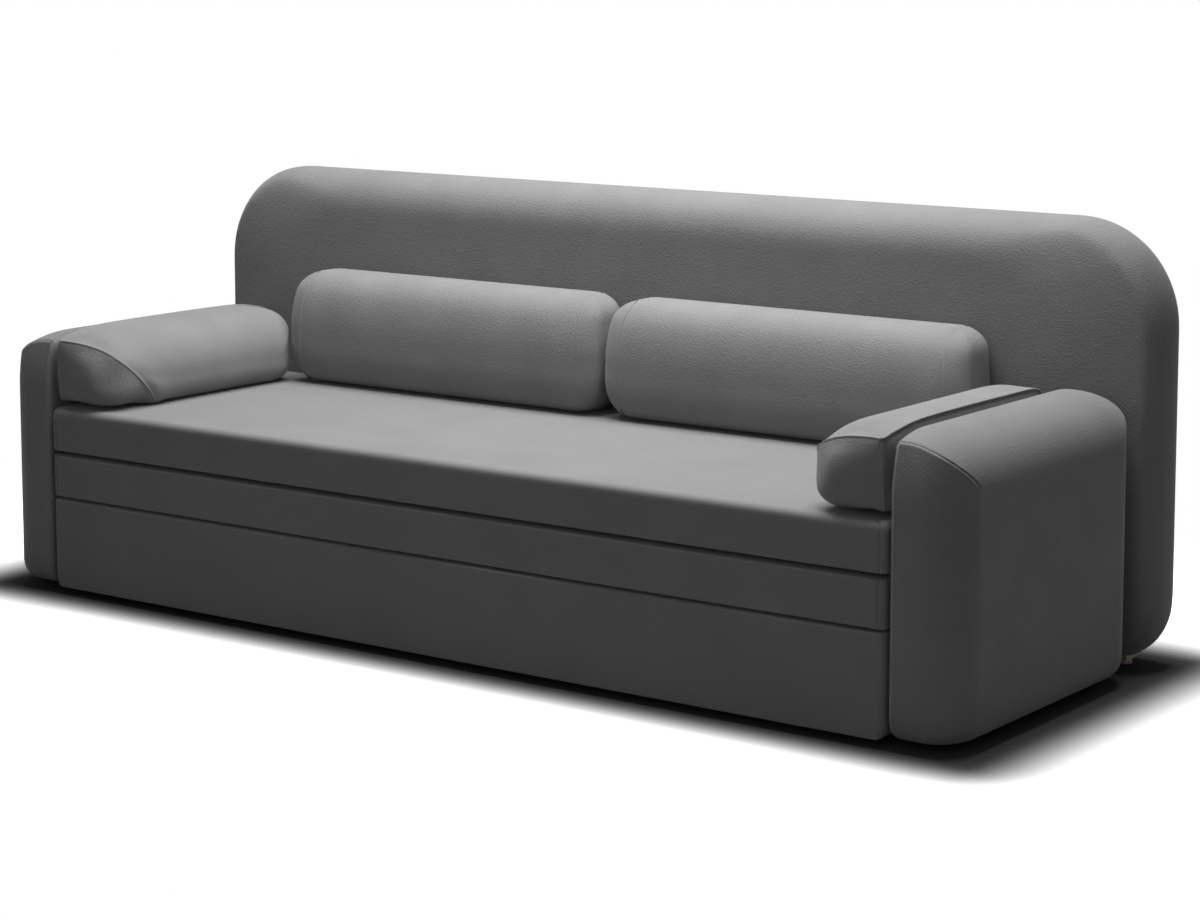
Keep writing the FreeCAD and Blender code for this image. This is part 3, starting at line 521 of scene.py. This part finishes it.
def barPlace(a, b, c, s):
    # a runs from the flat side to the rounded one, b from front to back, c upwards
    width, length, height = s["size"]
    across, depth = barPlan(a, b, c, s)
    top = barTop(across, depth, s)
    # up the wall: a quarter round at the bottom, then straight
    onRound = across > width / 2
    foot = s["foot"] if onRound and depth > s["corner"] else s["frontFoot"]
    arc = foot * math.pi / 2
    up = c * (arc + top - foot)
    rise = foot * (1 - math.cos(up / foot)) if up < arc else foot + up - arc
    if c > nearOne:
        rise = top
    share = min(1.0, depth / (2 * s["corner"]))
    sideFoot = s["frontFoot"] + (s["foot"] - s["frontFoot"]) * share
    sideIn = insetAt(rise, sideFoot if onRound else s["innerFoot"])
    half = width / 2
    across = half + (across - half) * (1 - sideIn / half)
    y = depth if b < 0.5 else length - depth
    y = length / 2 + (y - length / 2) * (1 - 2 * insetAt(rise, s["frontFoot"]) / length)
    # the front and the flat side swell a little between their edges
    swell = math.sin(math.pi * rise / top)
    if b < nearZero:
        y -= s["frontSwell"] * swell * math.sin(math.pi * a) ** 2
    if a < nearZero:
        across += s["innerIn"] * (1 - math.sqrt(max(0.0, swell))) * min(1.0, 2 * rise / top)
    # the front draws back towards its top seam
    drawn = max(0.0, (rise - height + s["drawHeight"]) / s["drawHeight"]) ** s["drawPower"]
    y += s["drawBack"] * drawn * max(0.0, 1 - y / s["drawReach"])
    return Vector((across, y, rise))


def runLengths(points):
    # the length of a chain up to each of its points
    lengths = [0.0]
    for one, two in zip(points, points[1:]):
        lengths.append(lengths[-1] + (two - one).length)
    return lengths


def curvePoint(points, share):
    # a smooth curve through the points, share 0 at the first and 1 at the last
    lengths = runLengths(points)
    want = share * lengths[-1]
    index = max(i for i in range(len(points) - 1) if lengths[i] <= want + 1e-9)
    t = (want - lengths[index]) / (lengths[index + 1] - lengths[index])
    here, there = points[index], points[index + 1]
    before = points[index - 1] if index else here * 2 - there
    after = points[index + 2] if index + 2 < len(points) else there * 2 - here
    return 0.5 * (2 * here + (there - before) * t
                  + (2 * before - 5 * here + 4 * there - after) * t ** 2
                  + (3 * here - before - 3 * there + after) * t ** 3)


def drawSeams(bm, chains, reach):
    # moves chains of points onto smooth curves, and the cloth around them along
    ease = 0.0003       # keeps the weights finite on the seam itself
    moves = []
    for chain, points in chains:
        lengths = runLengths([vert.co for vert in chain])
        for vert, length in zip(chain, lengths):
            target = curvePoint(points, length / lengths[-1])
            moves.append((vert.co.copy(), target - vert.co))
    for vert in bm.verts:
        total = Vector((0, 0, 0))
        weights = 0.0
        nearest = 3 * reach
        for place, move in moves:
            away = (vert.co - place).length
            if away > 3 * reach:
                continue
            weight = 1 / (away + ease) ** 3
            total += move * weight
            weights += weight
            nearest = min(nearest, away)
        if weights:
            vert.co += total / weights * math.exp(-(nearest / reach) ** 2)


def barChains(marks, s):
    # the cushion's seams as ordered points: the cap's arc, the outer edge of the cap and the
    # outer edge of the top
    ends = s["endCells"] / s["cells"][1]
    arc, upright, along = [], [], []
    for vert, (a, b, c) in marks.items():
        if c > nearOne and b < nearZero:
            arc.append((a, vert))
        elif c > nearOne and a > nearOne and b < ends + nearZero:
            arc.append((1 + b, vert))
        elif a > nearOne and abs(b - ends) < nearZero:
            arc.append((3 - c, vert))
        if a < nearZero and b < nearZero:
            upright.append((1 - c, vert))
        if a < nearZero and c > nearOne:
            along.append((b, vert))
    return [[vert for key, vert in sorted(chain, key=lambda pair: pair[0])]
            for chain in (arc, upright, along)]


def barEdges(bm, marks, s):
    # sorted into welts and plain soft edges
    ends = s["endCells"] / s["cells"][1]
    # a leaning seam goes on down from the last column, which is then a welt as well
    roundEnd = ends + nearZero if "lean" in s else ends - nearZero
    welts = []
    plain = []
    for edge in bm.edges:
        one, two = [marks[v] for v in edge.verts]
        onFront = max(one[1], two[1]) < nearZero
        onTop = min(one[2], two[2]) > nearOne
        onFlat = max(one[0], two[0]) < nearZero
        onRound = min(one[0], two[0]) > nearOne
        leaning = onRound and max(abs(one[1] - ends), abs(two[1] - ends)) < nearZero
        if onFlat and (onTop or onFront):
            (welts if s["boxed"] else plain).append(edge)
        elif onFront and onTop or onTop and onRound and max(one[1], two[1]) < roundEnd:
            welts.append(edge)
        elif "lean" in s and leaning and min(one[2], two[2]) > s["seamStart"]:
            welts.append(edge)
    return welts, plain


def makeBar(name, place, s, mirror, finish, body, node):
    # place turns (across, along, up) into the sofa's frame
    bm = unitGrid(s["cells"])
    marks = {v: tuple(v.co) for v in bm.verts}
    for vert in bm.verts:
        vert.co = barPlace(*marks[vert], s)
    if "seamPaths" in s:
        paths = [[Vector(point) for point in path] for path in s["seamPaths"]]
        drawSeams(bm, list(zip(barChains(marks, s), paths)), s["seamReach"])
        # the front's lower edge hangs above the seat
        liftY, liftZ = s["liftReach"]
        for vert in bm.verts:
            share = max(0.0, 1 - vert.co.y / liftY) * max(0.0, 1 - vert.co.z / liftZ)
            vert.co.z += s["footLift"] * share
    for vert in bm.verts:
        vert.co = place(vert.co)
    bmesh.ops.recalc_face_normals(bm, faces=bm.faces)
    welts, plain = barEdges(bm, marks, s)
    if plain:
        bmesh.ops.bevel(bm, geom=plain, offset=s["edge"], offset_type="OFFSET", segments=3,
                        profile=0.5, affect="EDGES", material=-1)
        welts = [e for e in welts if e.is_valid]
    pinch(bm, welts, s["seamWidth"], s["seamDepth"], s["seamRim"])
    if mirror:
        bmesh.ops.scale(bm, vec=(-1, 1, 1), verts=bm.verts)
        bmesh.ops.reverse_faces(bm, faces=bm.faces)
    finishPiece(bm, name, finish, body, node)


armSettings = {
    "size": (0.139, 0.6997, 0.551), "raise": 0.001,
    "cells": (17, 45, 30), "endCells": 8, "flatCells": 3,
    "corner": 0.080, "roof": 0.100, "roofReach": 0.122, "rollLength": 0.095, "rollDrop": 0.016,
    "crown": 0.001, "foot": 0.034, "frontFoot": 0.034, "innerFoot": 0.012, "edge": 0.0084,
    "frontSwell": 0.0015, "innerIn": 0.0,
    "drawBack": 0.023, "drawHeight": 0.115, "drawReach": 0.20, "drawPower": 1.7,
    "boxed": False, "seamWidth": 0.0080, "seamDepth": 0.0042, "seamRim": 0.0008, "fill": 0.85,
}


def makeArms(finishes):
    low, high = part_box("arm_cover_right")

    def place(point):
        return Vector((low.x + point.x, low.y + point.y, low.z + armSettings["raise"] + point.z))
    for side in ("right", "left"):
        makeBar("arm_upholstery_" + side, place, armSettings, side == "left",
                finishes["upholstery"], "sofa", "arm_cover_" + side)


# ---- backrest ----

backSettings = {
    "cell": 0.020, "edge": 0.084, "topCorner": 0.205, "bottomCorner": 0.112, "raise": 0.001,
    "fill": 0.85,
}


def outlinePlace(x, z, halfWidth, halfHeight, radius):
    # bends the square rings of the backrest's face into rings with round corners;
    # the ring is 0 in the middle and 1 on the outline
    ring = max(x / halfWidth, z / halfHeight)
    sideX, sideZ, r = halfWidth * ring, halfHeight * ring, radius * ring
    shareX = 1 - (sideX - x) / r if r > 0 else 0
    shareZ = 1 - (sideZ - z) / r if r > 0 else 0
    if shareX > 0 and shareZ > 0:
        k = max(shareX, shareZ) / math.hypot(shareX, shareZ)
        x = sideX - r * (1 - shareX * k)
        z = sideZ - r * (1 - shareZ * k)
    return x, z, ring


def makeBackrest(finishes):
    s = backSettings
    edge = s["edge"]
    low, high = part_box("back_cover")
    low.z += s["raise"]
    bm = boxGrid(low, high, s["cell"])
    middle = (low + high) / 2
    half = (high - low) / 2
    for vert in bm.verts:
        away = vert.co - middle
        radius = s["topCorner"] if away.z > 0 else s["bottomCorner"]
        x, z, ring = outlinePlace(abs(away.x), abs(away.z), half.x, half.z, radius)
        x, z = math.copysign(x, away.x), math.copysign(z, away.z)
        y = away.y
        # the edge between face and rim, rounded by the distance from the outline
        onFace = abs(abs(y) - half.y) < 1e-6
        inset = min((1 - ring) * half.z, edge)
        over = 1 - inset / edge if onFace else 1.0
        toFace = half.y - abs(y)
        depthShare = 1 - toFace / edge if toFace < edge else 0.0
        if over > 0 and depthShare > 0:
            k = max(over, depthShare) / math.hypot(over, depthShare)
            newInset = edge * (1 - over * k)
            shift = newInset - inset if onFace else newInset
            x *= 1 - shift / half.x
            z *= 1 - shift / half.z
            y = math.copysign(half.y - edge * (1 - depthShare * k), y)
        vert.co = middle + Vector((x, y, z))
    finishPiece(bm, "backrest_upholstery", finishes["upholstery"], "sofa",
                "back_cover")


# ---- mattresses and the bed front ----

layerSettings = {
    "cell": 0.034, "corner": 0.013, "edgeRows": (0.08, 0.3, 0.62, 1.0, 1.5),
    "cornerRows": (0.12, 0.4, 0.75), "lowCorner": 0.022, "lowCornerRows": (0.3, 0.55, 0.8, 1.0),
    "seamInset": 0.014, "besideSeam": 0.010, "seamWidth": 0.0050, "seamDepth": 0.0045,
    "wave": 0.0008, "wellGap": 0.002, "wellRoom": 0.0005, "rearGap": 0.0006, "sideGap": 0.0022,
    "bottomEdge": 0.004, "fill": 0.9,
    "seat": {"topEdge": 0.015, "crown": 0.0, "seams": True},
    "mattress": {"topEdge": 0.005, "crown": 0.003, "seams": True},
    "front": {"topEdge": 0.005, "crown": 0.0, "seams": False},
}


def cutAcross(bm, axis, value):
    point = Vector((0, 0, 0))
    point[axis] = value
    normal = Vector((0, 0, 0))
    normal[axis] = 1
    bmesh.ops.bisect_plane(bm, geom=bm.verts[:] + bm.edges[:] + bm.faces[:], dist=1e-5,
                           plane_co=point, plane_no=normal)


def seatWell(s):
    # the hollow below the seat, open for the rails and slats
    rails = [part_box(name) for name in ("seat_side_rail_left", "seat_side_rail_right",
                                       "seat_front_rail", "seat_rear_rail", "seat_slats")]
    low = [min(box[0][axis] for box in rails) - s["wellGap"] for axis in (0, 1)]
    high = [max(box[1][axis] for box in rails) + s["wellGap"] for axis in (0, 1)]
    return low, high, max(box[1].z for box in rails) + s["wellRoom"]


def layerRows(bm, low, high, s, form, kind):
    # rows for the rounded edges, the corners and the seams
    for share in s["edgeRows"]:
        cutAcross(bm, 2, high.z - form["topEdge"] * share)
        cutAcross(bm, 2, low.z + s["bottomEdge"] * share)
    for share in s["cornerRows"]:
        for axis in (0, 1):
            cutAcross(bm, axis, low[axis] + s["corner"] * share)
            cutAcross(bm, axis, high[axis] - s["corner"] * share)
    if kind == "front":
        for share in s["lowCornerRows"]:
            cutAcross(bm, 2, low.z + s["lowCorner"] * share)
            cutAcross(bm, 0, low.x + s["lowCorner"] * share)
            cutAcross(bm, 0, high.x - s["lowCorner"] * share)
    for side, inward in ((low.x, 1), (high.x, -1)):
        for step in (s["seamInset"], s["seamInset"] + s["besideSeam"]):
            cutAcross(bm, 0, side + inward * step)


def layerPlace(point, low, high, s, form, kind):
    middle = (low + high) / 2
    half = (high - low) / 2
    flat = roundedPlace(Vector((point.x, point.y, middle.z)), low, high,
                        lambda signs: (s["corner"], s["corner"], 0.001))
    inset = max(insetAt(high.z - point.z, form["topEdge"]),
                insetAt(point.z - low.z, s["bottomEdge"]))
    x = (flat.x - middle.x) * (1 - inset / half.x)
    y = (flat.y - middle.y) * (1 - inset / half.y)
    z = point.z
    if z > high.z - 1e-5:
        z += form["crown"] * (1 - (x / half.x) ** 4) * (1 - (y / half.y) ** 4)
    if y < 0:
        # the cloth isn't ruler-straight
        y += s["wave"] * noise.noise(Vector((x * 3.1, z * 5.0, half.z * 90)))
    placed = Vector((middle.x + x, middle.y + y, z))
    if kind == "front" and z < middle.z:
        # the lower corners, seen from the front
        radius = s["lowCorner"]
        placed = roundedPlace(placed, low, high, lambda signs: (radius, 0.0, radius))
    return placed


def makeLayer(name, node, finish, body, kind):
    s = layerSettings
    form = s[kind]
    low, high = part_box(node)
    high.z -= form["crown"]
    high.y -= s["rearGap"]
    low.x += s["sideGap"]
    high.x -= s["sideGap"]
    bm = boxGrid(low, high, s["cell"])
    well = []
    if kind == "seat":
        wellLow, wellHigh, wellTop = seatWell(s)
        for axis in (0, 1):
            cutAcross(bm, axis, wellLow[axis])
            cutAcross(bm, axis, wellHigh[axis])
    layerRows(bm, low, high, s, form, kind)
    seam = [v for v in bm.verts if abs(abs(v.co.x) - (high.x - s["seamInset"])) < 1e-5
            and v.co.y < low.y + 1e-5 and v.co.z > low.z + s["bottomEdge"] / 2]
    if kind == "seat":
        for face in bm.faces:
            centre = face.calc_center_median()
            inside = all(wellLow[axis] < centre[axis] < wellHigh[axis] for axis in (0, 1))
            if centre.z < low.z + 1e-5 and inside:
                well.append(face)
    fixed = {v for face in well for v in face.verts}
    for vert in bm.verts:
        if vert not in fixed:
            vert.co = layerPlace(vert.co, low, high, s, form, kind)
    if well:
        made = bmesh.ops.extrude_face_region(bm, geom=well)
        for item in made["geom"]:
            if isinstance(item, bmesh.types.BMVert):
                item.co.z = wellTop
    if form["seams"]:
        pinchChain(bm, seam, s)
    finishPiece(bm, name, finish, body, node)


def makeLayers(finishes):
    makeLayer("seat_upholstery", "seat_mattress", finishes["mattress_fabric"], "sofa",
              "seat")
    makeLayer("bed_mattress_upholstery", "bed_mattress", finishes["mattress_fabric"], "rolling_bed",
              "mattress")
    makeLayer("bed_front_upholstery", "bed_front_cover", finishes["base_fabric"], "rolling_bed",
              "front")


# ---- loose cushions ----

bolsterSettings = {
    "cell": 0.012, "cap": 0.070, "round": (0.030, 0.046), "foot": (0.034, 0.088),
    "roof": (0.064, 0.140), "lean": 0.014, "leanReach": 0.16, "lift": 0.009,
    "liftReach": (0.075, 0.10), "seam": 0.050, "seamWidth": 0.0045, "seamDepth": 0.0018,
    "endGap": 0.005, "fill": 0.8,
}


def bolsterPlace(point, low, high, s):
    placed = roundedPlace(point, low, high,
                          lambda signs: (s["cap"], *s["round" if signs[2] > 0 else "foot"]))
    # the front falls back towards the top, as on a D
    roofDepth, roofHeight = s["roof"]
    over = max(0.0, (placed.z - high.z) / roofHeight + 1)
    back = roofDepth * (1 - math.sqrt(max(0.0, 1 - over * over)))
    placed.y += back * (high.y - placed.y) / (high.y - low.y)
    # the ends lean in towards the top, and the front hangs a little above the seat
    near = min(placed.x - low.x, high.x - placed.x)
    share = (placed.z - low.z) / (high.z - low.z)
    lean = s["lean"] * share * share * max(0.0, 1 - near / s["leanReach"])
    placed.x += lean if placed.x < (low.x + high.x) / 2 else -lean
    liftY, liftZ = s["liftReach"]
    front = max(0.0, 1 - (placed.y - low.y) / liftY)
    placed.z += s["lift"] * front * max(0.0, 1 - (placed.z - low.z) / liftZ)
    return placed


def makeBolster(side, finishes):
    s = bolsterSettings
    node = "bolster_" + side
    low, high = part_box(node)
    # clear of the arm cushion's rear corner
    if side == "left":
        low.x += s["endGap"]
    else:
        high.x -= s["endGap"]
    bm = boxGrid(low, high, s["cell"])
    ends = (low.x + s["seam"], high.x - s["seam"])
    for end in ends:
        cutAcross(bm, 0, end)
    seam = [v for v in bm.verts if min(abs(v.co.x - end) for end in ends) < 1e-5]
    for vert in bm.verts:
        vert.co = bolsterPlace(vert.co, low, high, s)
    pinchChain(bm, seam, s)
    finishPiece(bm, node + "_cushion", finishes["cushion_fabric"], node, node)


capCorner = (0.019, 0.004, 0.144)   # where the cap's outer and upper seams meet

armCushionSettings = {
    "size": (0.177, 0.600, 0.168), "cells": (20, 44, 14), "endCells": 8, "flatCells": 6,
    "corner": 0.062, "roof": 0.100, "roofReach": 0.110, "rollLength": 0.090, "rollDrop": 0.012,
    "crown": 0.003, "foot": 0.048, "frontFoot": 0.036, "innerFoot": 0.014,
    "footLift": 0.010, "liftReach": (0.10, 0.08), "frontSwell": 0.006, "innerIn": 0.013,
    "drawBack": 0.010, "drawHeight": 0.060, "drawReach": 0.16, "drawPower": 1.7,
    "boxed": True, "lean": 0.080, "seamWidth": 0.0080, "seamDepth": 0.0040, "seamRim": 0.0008,
    "seamStart": 0.12, "seamReach": 0.045, "fill": 0.8,
    # (across, along, up) of points on the cap's arc, its outer edge and the top's outer edge
    "seamPaths": (
        (capCorner, (0.082, 0.009, 0.141), (0.134, 0.020, 0.129), (0.168, 0.035, 0.109),
         (0.178, 0.068, 0.080), (0.174, 0.115, 0.038), (0.161, 0.150, 0.002)),
        (capCorner, (0.015, 0.002, 0.080), (0.014, 0.010, 0.004)),
        (capCorner, (0.014, 0.050, 0.156), (0.011, 0.150, 0.166), (0.011, 0.480, 0.166),
         (0.013, 0.562, 0.162), (0.022, 0.600, 0.146)),
    ),
}


def makeArmCushion(side, finishes):
    node = "arm_cushion_" + side
    low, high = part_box("arm_cushion_right")

    def place(point):
        return Vector((high.x - point.x, low.y + point.y, low.z + point.z))
    makeBar(node + "_cushion", place, armCushionSettings, side == "left",
            finishes["cushion_fabric"], node, node)


bpy.context.scene.view_settings.view_transform = "Standard"
makeCamera(cameraSettings)
makeLights(lightSettings)
makeFloor(floorSettings)
finishes = makeMaterials()
dressNodes(finishes)
makeArms(finishes)
makeBackrest(finishes)
makeLayers(finishes)
for side in ("left", "right"):
    makeBolster(side, finishes)
    makeArmCushion(side, finishes)
